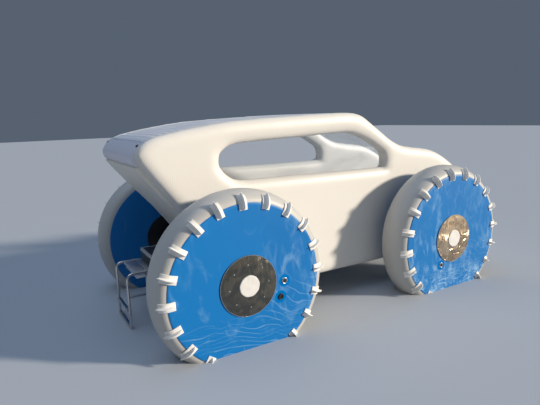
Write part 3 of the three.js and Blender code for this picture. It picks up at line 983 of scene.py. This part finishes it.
@dataclass
class Wheel:
    """An inflated drum wheel. It is drawn round the Y axis with its outer face at Y = 0, seen from -Y."""

    name: str
    side: Side
    blue: Finish
    plate_finish: Finish
    first_cleat: float
    valves: Profile
    shoulder_rise: float = 0.111
    shoulder_start: float = 0.010
    shoulder_steps: int = 10
    drum_bore: float = 0.047
    drum_inset: float = 0.0105
    disc_sheet: float = 0.0095
    disc_edge: float = 0.007
    disc_bore: float = 0.05
    face_edge: float = 0.026
    face_edge_stretch: float = 3.71
    plate_wider: float = 1.036
    plate_sheet: float = 0.010
    plate_edge: float = 0.002
    bolt_count: int = 8
    bolt_turn: float = 2.5
    bolt_reach: float = 0.70
    bolt_radius: float = 0.0075
    bolt_height: float = 0.005
    bolt_edge: float = 0.0015
    rim_width: float = 0.003
    rim_proud: float = 0.0006
    rim_wider: float = 0.0004
    cap_rows: Sequence[float] = (0.2, 0.4, 0.6, 0.75, 0.88)
    cap_steps: int = 72
    cap_dish: float = 0.002
    cap_edge: float = 0.006
    cap_crease: float = 0.0022
    cap_crease_scale: float = 22.0
    cap_waves: int = 9
    cap_wave: float = 0.008
    cap_wave_from: float = 0.9
    cleat_count: int = 20
    cleat_width: float = 0.082
    cleat_sheet: float = 0.009
    cleat_root: float = 0.004
    cleat_sink: float = 0.008
    fin_sheet: float = 0.008
    fin_foot: float = 0.006
    fin_taper: float = 0.8
    cleat_inner: float = 0.739
    cleat_uneven: float = 0.012
    cleat_lean: float = 0.10
    lean_from: float = 0.012
    cleat_rounding: float = 0.0016
    cleat_on_face: Profile = ((0.739, 0.0105), (0.763, 0.0470), (0.797, 0.0505))
    cleat_on_shoulder: Profile = (
        (4.0, 0.0510), (11.0, 0.0500), (19.0, 0.0490), (28.0, 0.0475), (37.0, 0.0460)
    )
    valve_patch: Profile = ((0.0, -0.0008), (0.0635, -0.0008), (0.064, 0.0), (0.0, 0.0))
    valve_ring: Profile = (
        (0.019, -0.0012), (0.019, -0.006), *arc((0.0265, -0.006), 0.0045, 180, 360, 6), (0.034, -0.0012)
    )
    valve_seat: Profile = (
        (0.0, -0.004), (0.008, -0.0045), (0.0195, -0.0028), (0.0195, -0.0012), (0.0, -0.0012)
    )
    round_steps: int = 144
    face_radius: float = field(init=False)
    depth: float = field(init=False)
    place: Matrix = field(init=False)

    def __post_init__(self) -> None:
        """Read the wheel's size and place from its CAD nodes."""
        low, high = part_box(self._node("outer_disc"))
        inner_low, inner_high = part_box(self._node("inner_disc"))
        hub = Vector(JOINTS[self.body]["pos_m"])
        self.face_radius = (high.z - low.z) / 2
        outer, inner = (low.y, inner_high.y) if self.side is Side.STARBOARD else (high.y, inner_low.y)
        self.depth = abs(inner - outer)
        self.place = Matrix.Translation((hub.x, outer, hub.z)) @ Matrix.Diagonal((1, -self.side.value, 1, 1))

    @property
    def body(self) -> str:
        """The CAD body of the wheel."""
        return f"{self.name}_wheel"

    def _node(self, part: str) -> str:
        """The name of one of the wheel's CAD nodes."""
        return f"wheel_{self.name}_{part}"

    def _shoulder(self, turn: float) -> Vector:
        """A point of the drum's outer shoulder.

        Args:
            turn: Degrees round the shoulder, from 0 at the face to 90 at the crown.

        Returns:
            Radius and depth.
        """
        t = math.radians(turn)
        along = self.shoulder_start + (self.depth / 2 - self.shoulder_start) * (1 - math.cos(t))
        return Vector((self.face_radius + self.shoulder_rise * math.sin(t), along))

    def _put(self, piece: Piece, finish: Finish, replaces: Sequence[str] = (), angle: float = 40.0) -> None:
        """Move a piece from the wheel's own place to the frame and dress it."""
        finished(moved(piece, self.place), finish, self.body, [self._node(part) for part in replaces], angle)

    def _turned(
        self, part: str, profile: Profile, finish: Finish, replaces: Sequence[str] = (), angle: float = 40.0
    ) -> None:
        """Turn a piece from its profile, and put it in place."""
        self._put(spun(self._node(part), profile, self.round_steps), finish, replaces, angle)

    def build(self) -> None:
        """Make every piece of the wheel."""
        self._drum()
        self._discs()
        self._hub()
        self._cap()
        self._back_plate()
        self._cleats()
        self._valves()

    def _drum(self) -> None:
        """The white inflated drum."""
        turns = [90.0 / self.shoulder_steps * i for i in range(self.shoulder_steps + 1)]
        shoulder = [tuple(self._shoulder(turn)) for turn in turns]
        far = [(radius, self.depth - along) for radius, along in reversed(shoulder[:-1])]
        near_bore, far_bore = (self.drum_bore, self.drum_inset), (self.drum_bore, self.depth - self.drum_inset)
        self._turned("drum_skin", [near_bore, *shoulder, *far, far_bore], DRUM_WHITE, ["drum"], 60.0)

    def _discs(self) -> None:
        """The blue discs, each with a round edge."""
        radius, sheet, edge, bore = self.face_radius, self.disc_sheet, self.disc_edge, self.disc_bore
        inside = radius - self.face_edge
        round_edge = [(inside + self.face_edge_stretch * x, y) for x, y in arc((0.0, edge), edge, -90, 0, 7)]
        outer = [(0.0, 0.0), *round_edge, (radius, sheet), (0.0, sheet)]
        self._turned("face", outer, self.blue, ["outer_disc"])
        inner = rimmed(radius, 0.0, edge, 4, sheet, bore)
        back = moved(spun(self._node("back"), inner, self.round_steps), Matrix.Diagonal((1, -1, 1, 1)))
        self._put(moved(back, Matrix.Translation((0, self.depth, 0))), self.blue, ["inner_disc"])

    def _hub(self) -> None:
        """The hub plate with its bolts and bright rim."""
        radius = box_radius(self._node("hub_plate")) * self.plate_wider
        sheet = self.plate_sheet
        plate = rimmed(radius, -sheet, self.plate_edge, 3)
        self._turned("plate", plate, self.plate_finish, ["hub_plate"], 30.0)
        head = rimmed(self.bolt_radius, -self.bolt_height, self.bolt_edge, 3)
        bolts = []
        for i in range(self.bolt_count):
            turn = math.radians(self.bolt_turn + 360 / self.bolt_count * i)
            out = Vector((math.cos(turn), 0, math.sin(turn))) * radius * self.bolt_reach
            bolts.append(moved(spun(f"bolt_{i}", head, 16), Matrix.Translation(out + Vector((0, -sheet, 0)))))
        self._put(joined(self._node("plate_bolts"), bolts), BRIGHT_STEEL)
        width, proud, wider = self.rim_width, self.rim_proud, self.rim_wider
        front, back, inside, outside = -sheet - proud, width - sheet, radius - width, radius + wider
        rim = [(inside, front), (outside, front), (outside, back), (inside, back)]
        self._turned("plate_rim", rim, BRIGHT_STEEL, angle=30.0)

    def _cap(self) -> None:
        """The white cap, a little creased, with a wavy edge."""
        low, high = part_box(self._node("cap"))
        radius, sheet, edge = (high.z - low.z) / 2, self.plate_sheet, self.cap_edge
        top = -sheet - (high.y - low.y)
        rows = [(radius * share, top - self.cap_dish * (1 - share)) for share in self.cap_rows]
        rounded = arc((radius - edge, top + edge), edge, -90, 0, 4)
        lid = [(0.0, top - self.cap_dish), *rows, *rounded, (radius, -sheet), (0.0, -sheet)]
        cap = spun(self._node("cap_disc"), lid, self.cap_steps)
        scale = self.cap_crease_scale
        for vertex in cap.data.vertices:
            place = vertex.co
            if place.y < -sheet - 0.001:
                spot = Vector((place.x * scale, 3.0 * self.side.value, place.z * scale))
                place.y += self.cap_crease * noise.noise(spot)
            if math.hypot(place.x, place.z) > radius * self.cap_wave_from:
                swing = 1 + self.cap_wave * math.sin(self.cap_waves * math.atan2(place.z, place.x))
                place.x *= swing
                place.z *= swing
        self._put(cap, CAP_WHITE, ["cap"])

    def _back_plate(self) -> None:
        """The hub plate on the wheel's inner face: stainless, painted black for the dark it reflects in the
        shade.
        """
        low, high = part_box(self._node("inner_plate"))
        radius, sheet, edge, bore = (high.z - low.z) / 2, high.y - low.y, self.plate_edge, self.disc_bore
        rounded = arc((radius - edge, sheet - edge), edge, 90, 0, 3)
        plate = spun(self._node("back_plate"), [(bore, 0.0), (bore, sheet), *rounded, (radius, 0.0)], 96)
        clear = Matrix.Translation((0, self.depth + 0.0003, 0))
        # Painted shade: the black finish stands in for the dark this stainless plate reflects.
        self._put(moved(plate, clear), BLACK, ["inner_plate"], 30.0)

    def _cleat(self) -> Piece:
        """One cleat along +X: a strip with a fin along its middle, wrapped from the face over the shoulder.

        Returns:
            The closed piece.
        """
        face_way = Vector((0.0, -1.0))
        stations = [(Vector((radius, 0.0)), face_way, height) for radius, height in self.cleat_on_face]
        last_turn = self.cleat_on_shoulder[-1][0]
        for turn, height in self.cleat_on_shoulder:
            t = math.radians(turn)
            normal = Vector((math.sin(t) / self.shoulder_rise, -math.cos(t) / (self.depth / 2))).normalized()
            sunk = Vector((0.0, self.cleat_sink)) * (1 - turn / last_turn)
            stations.append((self._shoulder(turn) - sunk, normal, height))
        half, sheet, root = self.cleat_width / 2, self.cleat_sheet, self.cleat_root
        web, foot = self.fin_sheet / 2, self.fin_foot
        tip = web * self.fin_taper
        rings = []
        for place, normal, height in stations:
            waist = min(sheet + foot, height)
            right = [(tip, height), (web, waist), (web + foot, sheet), (half, sheet), (half, -root)]
            section = [(-across, up) for across, up in reversed(right)] + right
            rings.append(
                [Vector((place.x + normal.x * up, place.y + normal.y * up, across)) for across, up in section]
            )
        return edged(lofted("cleat", rings), self.cleat_rounding, 50.0)

    def _cleats(self) -> None:
        """All the wheel's cleats as one piece."""
        pattern = self._cleat()
        made = []
        for i in range(self.cleat_count):
            turn = math.radians(self.first_cleat + 360 * i / self.cleat_count)
            copy = linked(f"cleat_{i}", pattern.data.copy())
            end = self.cleat_inner + self.cleat_uneven * math.cos(turn)
            fixed = self.cleat_on_face[-1][0]
            share = (fixed - end) / (fixed - self.cleat_inner)
            lean = self.cleat_lean * noise.noise(Vector((3.7 * i, self.first_cleat, 0.0)))
            for vertex in copy.data.vertices:
                if vertex.co.x < fixed:
                    vertex.co.x = fixed - (fixed - vertex.co.x) * share
                vertex.co.z += lean * max(0.0, -vertex.co.y - self.lean_from)
            made.append(moved(copy, Matrix.Rotation(-turn, 4, "Y")))
        bpy.data.objects.remove(pattern)
        self._put(joined(self._node("cleats"), made), CLEAT_WHITE, angle=35.0)

    def _valves(self) -> None:
        """Inflation valves on round patches; every second valve has a black ring."""
        for i, (x, z) in enumerate(self.valves):
            for part, profile, steps, finish in (
                ("patch", self.valve_patch, 48, PATCH_BLUE),
                ("ring", self.valve_ring, 32, BLACK if i % 2 else BRIGHT_STEEL),
                ("seat", self.valve_seat, 24, BLACK),
            ):
                piece = spun(self._node(f"valve_{part}_{i}"), profile, steps)
                self._put(moved(piece, Matrix.Translation((x, 0.0, z))), finish)


# The inflated hull

@dataclass
class InflatedHull:
    """The side panels, roof, bolster, end walls, floor and clear screen."""

    voxel: float = 0.024
    relax: int = 10
    pleat_pitch: float = 0.075
    pleat_depth: float = 0.0045
    roof_thickness: float = 0.06
    roof_wider: float = 1.15
    edge_dip: float = 0.010
    bolster_wider: float = 1.16
    walls_wider: float = 1.165
    eyelet: tuple[float, float, float] = (-0.770, 0.655, 1.335)
    eyelet_ring: Profile = (
        (0.006, 0.002), (0.006, -0.003), *arc((0.011, -0.003), 0.003, 180, 360, 4), (0.018, 0.002)
    )
    crest_inner: float = 0.678
    edge_round: float = 0.09
    stern_bulge: float = 0.06
    window_corner: tuple[float, float] = (2.37, 0.96)
    corner_tuck: float = 0.04
    corner_reach: float = 0.20
    bulge_from: float = 0.25
    bulge_over: float = 0.80
    drape_inset: float = 0.002
    drape_above: float = 0.2
    film_sheet: float = 0.003
    film_swell: float = 0.006

    def build(self) -> None:
        """Make every piece of the hull's body."""
        for side in Side:
            name = "side_panel_" + ("right" if side is Side.STARBOARD else "left")
            panel = softened(name, name + "_skin", self.voxel, self.relax)
            self._tuck_corner(panel)
            modified(panel, "SUBSURF", levels=1, render_levels=1)
            finished(panel, HULL_WHITE, HULL, [name], 180.0)
        for name, voxel, wider, finish in (
            ("rear_panel", 0.018, self.walls_wider, STERN_WHITE_PAINTED_WARM_BOUNCE),
            ("bow_panel", 0.018, 1.0, HULL_WHITE),
            ("floor_panel", 0.03, 1.0, HULL_WHITE),
        ):
            wall = softened(name, name + "_skin", voxel, 6)
            if name == "rear_panel":
                self._swell(wall)
            finished(moved(wall, Matrix.Diagonal((1, wider, 1, 1))), finish, HULL, [name], 180.0)
        self._roof()
        self._bolster()
        self._screen()

    def _tuck_corner(self, panel: Piece) -> None:
        """Round the lower front corner of a side panel's window.

        Args:
            panel: The side panel.
        """
        corner = hub_point(self.window_corner[0], 0.0, self.window_corner[1])
        for vertex in panel.data.vertices:
            away = math.hypot(vertex.co.x - corner.x, vertex.co.z - corner.z) / self.corner_reach
            vertex.co.x -= self.corner_tuck * max(0.0, 1 - away**2) ** 2

    def _swell(self, wall: Piece) -> None:
        """Swell the rear wall out of the stern, most at its top.

        Args:
            wall: The rear wall.
        """
        for vertex in wall.data.vertices:
            share = min(1.0, max(0.0, (vertex.co.z - REAR_HUB.z - self.bulge_from) / self.bulge_over))
            vertex.co.x -= self.stern_bulge * share * share * (3 - 2 * share)

    def _draped(self, name: str, node: str, columns: int, rows: int) -> Piece:
        """A grid pressed from above on a CAD solid's top.

        Args:
            name: The piece's name.
            node: The CAD node under it.
            columns: Divisions along X.
            rows: Divisions along Y.

        Returns:
            The grid, lying on the solid.
        """
        low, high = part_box(node)
        grid = primitive(
            name, bpy.ops.mesh.primitive_grid_add, x_subdivisions=columns, y_subdivisions=rows, size=1.0
        )
        size = Vector((high.x - low.x - 2 * self.drape_inset, high.y - low.y - 2 * self.drape_inset, 1.0))
        centre = Vector(((low.x + high.x) / 2, 0.0, high.z + self.drape_above))
        grid.data.transform(Matrix.Translation(centre) @ Matrix.Diagonal((*size, 1.0)))
        return modified(
            grid, "SHRINKWRAP", target=frame["nodes"][node], wrap_method="PROJECT",
            use_project_z=True, use_negative_direction=True, use_positive_direction=False, use_project_x=False,
        )

    def _roof(self) -> None:
        """The roof mat, pleated across, with its sides tucked under the panels' rounds."""
        roof = self._draped("roof_mat", "roof_panel", 330, 26)
        half = max(v.co.y for v in roof.data.vertices)
        for vertex in roof.data.vertices:
            place = vertex.co
            share = abs(place.y) / half
            soft = noise.noise(Vector((place.x * 2.0, place.y * 3.0, 0.0)))
            shift = 1.6 * noise.noise(Vector((place.x * 3.0, place.y * 1.2, 4.0))) + 0.8 * place.y
            pleat = math.cos(2 * math.pi * place.x / self.pleat_pitch + shift)
            uneven = max(0.15, 0.55 + 0.9 * noise.noise(Vector((place.x * 4.5, place.y * 2.5, 8.0))))
            rise = (pleat * 0.5 - 0.5) * self.pleat_depth * uneven
            place.z += rise + 0.003 * soft - self.edge_dip * share**8
            place.y *= self.roof_wider
        top_count = len(roof.data.vertices)
        modified(roof, "SOLIDIFY", thickness=self.roof_thickness, offset=-1.0)
        for vertex in list(roof.data.vertices)[top_count:]:
            vertex.co.z += max(0.0, self.roof_thickness - self._round_depth(abs(vertex.co.y)) - 0.006)
        finished(roof, ROOF_WHITE_PAINTED_LIGHTER, HULL, ["roof_panel"], 60.0)

    def _round_depth(self, offset: float) -> float:
        """How far a side panel's inner round lies under its crest, at a distance from the middle."""
        across = min(1.0, max(0.0, (self.crest_inner - offset) / self.edge_round))
        return self.edge_round * (1 - math.sqrt(1 - across**2)) if across < 1 else 1.0

    def _bolster(self) -> None:
        """The round bolster across the stern, with a black eyelet at each end of its upper seam."""
        bolster = softened("rear_bolster", "rear_bolster_skin", 0.012, 12)
        moved(bolster, Matrix.Diagonal((1, self.bolster_wider, 1, 1)))
        eyelets = []
        for side in Side:
            x, y, z = self.eyelet
            _, place, normal, _ = bolster.closest_point_on_mesh(hub_point(x, side.value * y, z))
            turn = (-normal).to_track_quat("Y", "Z").to_matrix().to_4x4()
            eyelets.append(moved(spun("eyelet", self.eyelet_ring, 20), Matrix.Translation(place) @ turn))
        finished(joined("bolster_eyelets", eyelets), BLACK, HULL)
        finished(bolster, BOLSTER_WHITE_PAINTED_SHADE, HULL, ["rear_bolster"], 180.0)

    def _screen(self) -> None:
        """The clear film from the roof's front edge down over the hood."""
        screen = self._draped("clear_screen_film", "clear_screen", 150, 40)
        for vertex in screen.data.vertices:
            place = vertex.co
            place.z += self.film_swell * noise.noise(Vector((place.x * 3.0, place.y * 5.0, 1.7)))
        modified(screen, "SOLIDIFY", thickness=self.film_sheet, offset=-1.0)
        finished(screen, CLEAR, HULL, ["clear_screen"], 60.0)


@dataclass
class Cabin:
    """The inflated benches in the cabin."""

    voxel: float = 0.022

    def build(self) -> None:
        """Make both benches."""
        for name in ("front_bench", "rear_bench"):
            bench = softened(name, name + "_cushion", self.voxel, 8)
            finished(bench, SEAT, HULL, [name], 180.0)


# Chassis and stern

@dataclass
class Chassis:
    """Rails, axles, carriers, the stern deck on its frame and the battery box."""

    edge: float = 0.004
    spindle: float = 0.040
    spindle_edge: float = 0.003
    axle_edge: float = 0.002
    axle_bore: float = 0.004
    carrier_bore: float = 0.0603
    carrier_edge: float = 0.003
    carrier_nose: Profile = ((-0.025, 0.0), (-0.004, 0.026), (0.0, 0.032))
    groove: Profile = ((0.0, 0.0), (-0.008, 0.002), (-0.008, 0.006), (0.0, 0.008))
    groove_count: int = 4
    groove_start: float = 0.042
    groove_pitch: float = 0.017
    planks: int = 6
    plank_gap: float = 0.006
    plank_rise: float = 0.008
    side_bar: float = 0.03
    block_edge: float = 0.003
    lid_span: tuple[float, float] = (-0.6006, -0.0874)
    lid_half: float = 0.2276
    lid_heights: tuple[float, float] = (0.0714, 0.1086)
    lid_band: float = 0.022
    lid_gap: float = 0.0005
    rounded_nodes: Sequence[tuple[str, Finish]] = (
        ("chassis_rail_right", ALUMINIUM),
        ("chassis_rail_left", ALUMINIUM),
        ("stern_frame", ALUMINIUM),
        ("battery_box", BLACK),
    )

    def build(self) -> None:
        """Make every piece of the chassis."""
        for node, finish in self.rounded_nodes:
            piece = copy_of(node, node + "_edged")
            finished(edged(piece, self.edge, 40.0), finish, HULL, [node], 35.0)
        for node in ("rear_axle", "front_axle"):
            self._axle(node)
        for wheel in ("rear_right", "rear_left", "front_right", "front_left"):
            self._carrier("hub_carrier_" + wheel)
        self._deck()
        self._lid_rim()

    def _lid_rim(self) -> None:
        """The light rim round the battery box's lid."""
        (near, far), (low, high) = self.lid_span, self.lid_heights
        half, band = self.lid_half, self.lid_band
        inner = (near + band + self.lid_gap, far - band - self.lid_gap)
        bars = (
            (near, near + band, -half, half),
            (far - band, far, -half, half),
            (*inner, -half, band - half),
            (*inner, half - band, half),
        )
        pieces = [
            hub_block("lid_bar", (start, right, low), (end, left, high), self.block_edge)
            for start, end, right, left in bars
        ]
        finished(joined("battery_box_lid_rim", pieces), LID_GREY, HULL, angle=35.0)

    def _axle(self, node: str) -> None:
        """A round axle with its spindles.

        Args:
            node: The axle's CAD node.
        """
        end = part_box(node)[1].y
        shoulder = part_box("hub_carrier_rear_left")[1].y
        radius, spindle, tip, edge = box_radius(node), self.spindle, self.spindle_edge, self.axle_edge
        half = [
            (spindle - tip, end), (spindle, end - tip), (spindle, shoulder),
            (radius - edge, shoulder), (radius, shoulder - edge),
        ]
        far_half = [(r, -y) for r, y in reversed(half)]
        profile = [(self.axle_bore, end), *half, *far_half, (self.axle_bore, -end)]
        centre = box_centre(node)
        place = Matrix.Translation((centre.x, 0.0, centre.z))
        finished(moved(spun(node + "_turned", profile, 48), place), ALUMINIUM, HULL, [node], 30.0)

    def _carrier(self, node: str) -> None:
        """A drive housing with a narrower nose and cooling grooves round it.

        Args:
            node: The carrier's CAD node.
        """
        low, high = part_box(node)
        centre, radius = box_centre(node), box_radius(node)
        bore, edge = self.carrier_bore, self.carrier_edge
        inner, outer = (low.y, high.y) if low.y > 0 else (high.y, low.y)
        depth = abs(outer - inner)
        profile = [(bore, 0.0), *((radius + out, along) for out, along in self.carrier_nose)]
        for i in range(self.groove_count):
            start = self.groove_start + self.groove_pitch * i
            profile += [(radius + out, start + along) for out, along in self.groove]
        profile += [(radius, depth - edge), (radius - edge, depth), (bore, depth)]
        turn = Matrix.Diagonal((1, 1 if outer > inner else -1, 1, 1))
        place = Matrix.Translation((centre.x, inner, centre.z))
        finished(moved(spun(node + "_housing", profile, 64), place @ turn), BLACK, HULL, [node], 30.0)

    def _deck(self) -> None:
        """The stern deck as planks between two side bars."""
        low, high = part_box("stern_deck")
        bar, gap, edge = self.side_bar, self.plank_gap, self.block_edge
        planks = []
        pitch = (high.x - low.x) / self.planks
        for i in range(self.planks):
            start = Vector((low.x + pitch * i + gap / 2, low.y + bar, low.z + self.plank_rise))
            end = Vector((low.x + pitch * (i + 1) - gap / 2, high.y - bar, high.z))
            planks.append(block(f"plank_{i}", start, end, edge))
        for y in (low.y, high.y - bar):
            planks.append(block("side_bar", Vector((low.x, y, low.z)), Vector((high.x, y + bar, high.z)), edge))
        finished(joined("stern_deck_planks", planks), ALUMINIUM, HULL, ["stern_deck"], 35.0)


@dataclass
class Ladder:
    """The boarding ladder of bent stainless tube; its places are given from the rear hub."""

    half: float = 0.250
    rear: float = -0.884
    mount: float = -0.640
    mount_half: float = 0.020
    top: float = -0.035
    foot: float = -0.790
    tube_radius: float = 0.015
    stile_bend: float = 0.075
    brace_heights: tuple[float, float] = (-0.286, -0.130)
    brace_bend: float = 0.045
    lug_half: float = 0.014
    lug_edge: float = 0.003
    rungs: Sequence[float] = (-0.455, -0.620, -0.775)
    rung_half: tuple[float, float] = (0.018, 0.010)
    rung_edge: float = 0.005
    bar_half: float = 0.2897
    bar_heights: tuple[float, float] = (-0.145, -0.105)
    bar_edge: float = 0.004

    def build(self) -> None:
        """Make the stiles with their lugs, the brace, the rungs and the mounting bar."""
        half, rear, mount, top = self.half, self.rear, self.mount, self.top
        near, far = mount - self.mount_half, mount + self.mount_half
        bar_low, bar_high = self.bar_heights
        pieces = []
        for y in (-half, half):
            stile = [hub_point(mount, y, top), hub_point(rear, y, top), hub_point(rear, y, self.foot)]
            pieces.append(tube("stile", stile, self.tube_radius, self.stile_bend))
            lug = (near, y - self.lug_half, bar_low), (far, y + self.lug_half, top)
            pieces.append(hub_block("lug", *lug, self.lug_edge))
        low, high = self.brace_heights
        brace = [hub_point(x, -half, z) for x, z in ((rear, low), (mount, low), (mount, high))]
        pieces.append(tube("brace", brace, self.tube_radius, self.brace_bend))
        deep, tall = self.rung_half
        for z in self.rungs:
            rung = (rear - deep, -half, z - tall), (rear + deep, half, z + tall)
            pieces.append(hub_block("rung", *rung, self.rung_edge))
        bar = (near, -self.bar_half, bar_low), (far, self.bar_half, bar_high)
        pieces.append(hub_block("bar", *bar, self.bar_edge))
        finished(joined("boarding_ladder_tubes", pieces), BRIGHT_STEEL, HULL, ["boarding_ladder"], 35.0)


def main() -> None:
    """Build the camera, the stage and every sub-assembly."""
    logging.basicConfig(level=logging.INFO, format="%(message)s")
    PhotoCamera().build()
    Studio().build()
    InflatedHull().build()
    Cabin().build()
    Chassis().build()
    Ladder().build()
    rear_valves = ((0.398, -0.030), (0.351, -0.187))
    front_valves = ((-0.206, -0.317),)
    for name, side, blue, plate, phase, valves in (
        ("rear_right", Side.STARBOARD, REAR_BLUE, STEEL_PAINTED_DARK_REFLECTION, 2.2, rear_valves),
        ("rear_left", Side.PORT, REAR_BLUE, STEEL_PAINTED_DARK_REFLECTION, 2.2, rear_valves),
        ("front_right", Side.STARBOARD, FRONT_BLUE, STEEL_PAINTED_WARM_REFLECTION, 5.0, front_valves),
        ("front_left", Side.PORT, FRONT_BLUE, STEEL_PAINTED_WARM_REFLECTION, 5.0, front_valves),
    ):
        Wheel(name, side, blue, plate, phase, valves).build()


if __name__ == "__main__":
    main()
